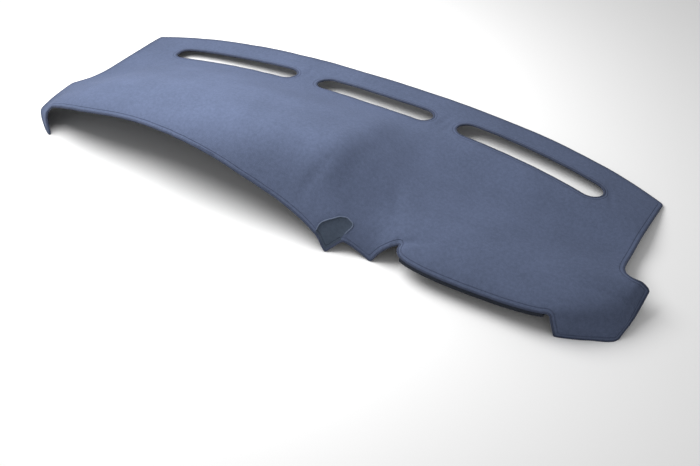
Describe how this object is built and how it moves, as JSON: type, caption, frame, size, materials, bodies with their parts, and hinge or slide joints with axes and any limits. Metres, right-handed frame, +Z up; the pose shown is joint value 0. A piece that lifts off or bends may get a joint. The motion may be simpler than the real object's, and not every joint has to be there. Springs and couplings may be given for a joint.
{
  "type": "dashboard cover mat",
  "caption": "Moulded carpet cover for a vehicle dashboard: a thin bent sheet with a raised instrument hood, slots for the windscreen vents and turned-down end flaps",
  "frame": {"origin": "middle of the mat's footprint, on the floor it rests on", "axes": "+X to the mat's right end as seen from the cabin, +Y to the windscreen, +Z up"},
  "size_m": [1.376, 0.5406, 0.1601],
  "materials": {
    "carpet": "matt short-pile carpet"
  },
  "bodies": {
    "root": {"cover_mat": "carpet"}
  },
  "joints": []
}
